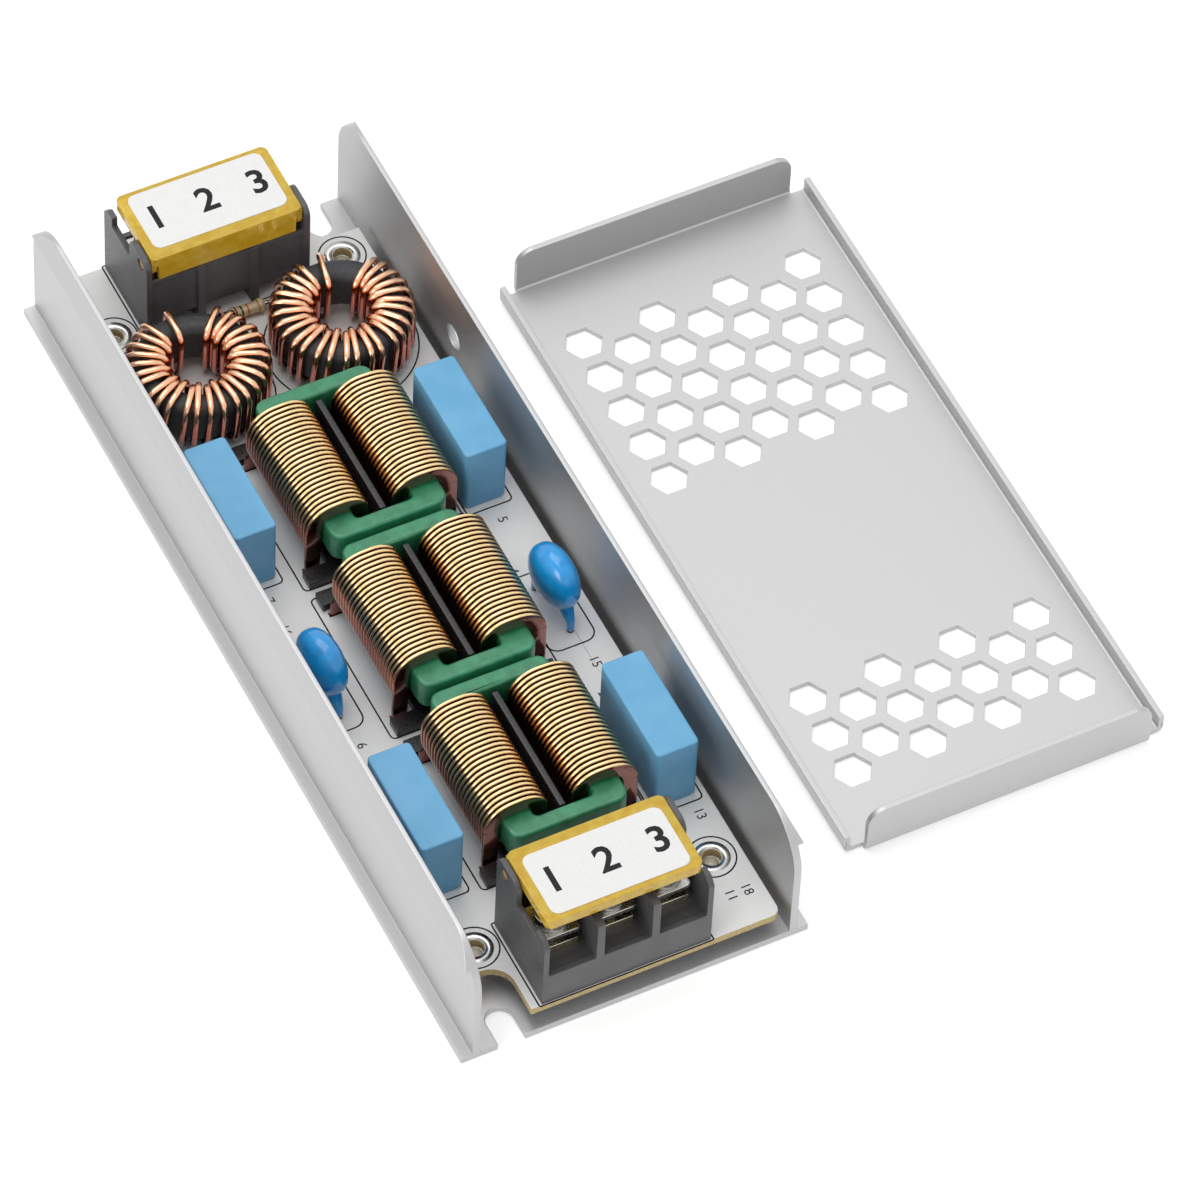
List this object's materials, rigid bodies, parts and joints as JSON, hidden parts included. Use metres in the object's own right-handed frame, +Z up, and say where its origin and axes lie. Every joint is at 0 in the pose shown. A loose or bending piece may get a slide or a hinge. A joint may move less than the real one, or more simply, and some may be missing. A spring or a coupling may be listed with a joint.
{
  "type": "emi line filter",
  "caption": "Open-frame mains line filter: wound chokes, ring coils and capacitors on a board in an aluminium tray, with hinged terminal covers and a vented lid.",
  "frame": {"origin": "middle of the underside of the aluminium tray", "axes": "+X across the tray towards the loose lid, +Y along the tray to the input terminals, +Z up"},
  "size_m": [0.1288, 0.164, 0.025],
  "materials": {
    "tray_aluminium": "satin, extruded and sawn",
    "lid_aluminium": "satin sheet, punched and folded",
    "spacer_tin": "tinned, turned",
    "board_white": "white solder resist over glass laminate, tan edges",
    "block_black": "moulded, fine spark texture",
    "strip_tin": "tinned strip",
    "screw_nickel": "nickel plated",
    "flap_amber": "clear amber moulding",
    "label_white": "matt white label",
    "toroid_core": "grey powder coating over the ring core",
    "round_copper": "enamelled round copper wire",
    "flat_copper": "enamelled flat copper wire",
    "core_green": "green coating over ferrite",
    "base_black": "moulded, semi-gloss",
    "film_blue": "moulded box, light blue",
    "disc_blue": "dipped blue coating, glossy",
    "resistor_tan": "lacquered body with colour bands"
  },
  "bodies": {
    "root": {"chassis": "tray_aluminium", "vent_cover": "lid_aluminium", "board_spacers": "spacer_tin", "circuit_board": "board_white", "output_block": "block_black", "output_strips": "strip_tin", "output_washers": "screw_nickel", "output_screws": "screw_nickel", "input_block": "block_black", "input_strips": "strip_tin", "input_washers": "screw_nickel", "input_screws": "screw_nickel", "toroid_1_core": "toroid_core", "toroid_1_winding": "round_copper", "toroid_2_core": "toroid_core", "toroid_2_winding": "round_copper", "choke_1_core": "core_green", "choke_1_base": "base_black", "choke_1_coil_left": "flat_copper", "choke_1_coil_right": "flat_copper", "choke_2_core": "core_green", "choke_2_base": "base_black", "choke_2_coil_left": "flat_copper", "choke_2_coil_right": "flat_copper", "choke_3_core": "core_green", "choke_3_base": "base_black", "choke_3_coil_left": "flat_copper", "choke_3_coil_right": "flat_copper", "film_capacitor_1": "film_blue", "film_capacitor_2": "film_blue", "film_capacitor_3": "film_blue", "film_capacitor_4": "film_blue", "disc_capacitor_1": "disc_blue", "disc_capacitor_2": "disc_blue", "resistor": "resistor_tan"},
    "output_cover": {"output_flap": "flap_amber", "output_label": "label_white"},
    "input_cover": {"input_flap": "flap_amber", "input_label": "label_white"}
  },
  "joints": [
    {"name": "output_cover_hinge", "type": "hinge", "parent": "root", "child": "output_cover", "pos_m": [-0.00125, -0.0667, 0.022], "axis": [-1, 0, 0], "range_deg": [0, 95]},
    {"name": "input_cover_hinge", "type": "hinge", "parent": "root", "child": "input_cover", "pos_m": [-0.00125, 0.0667, 0.022], "axis": [1, 0, 0], "range_deg": [0, 95]}
  ]
}
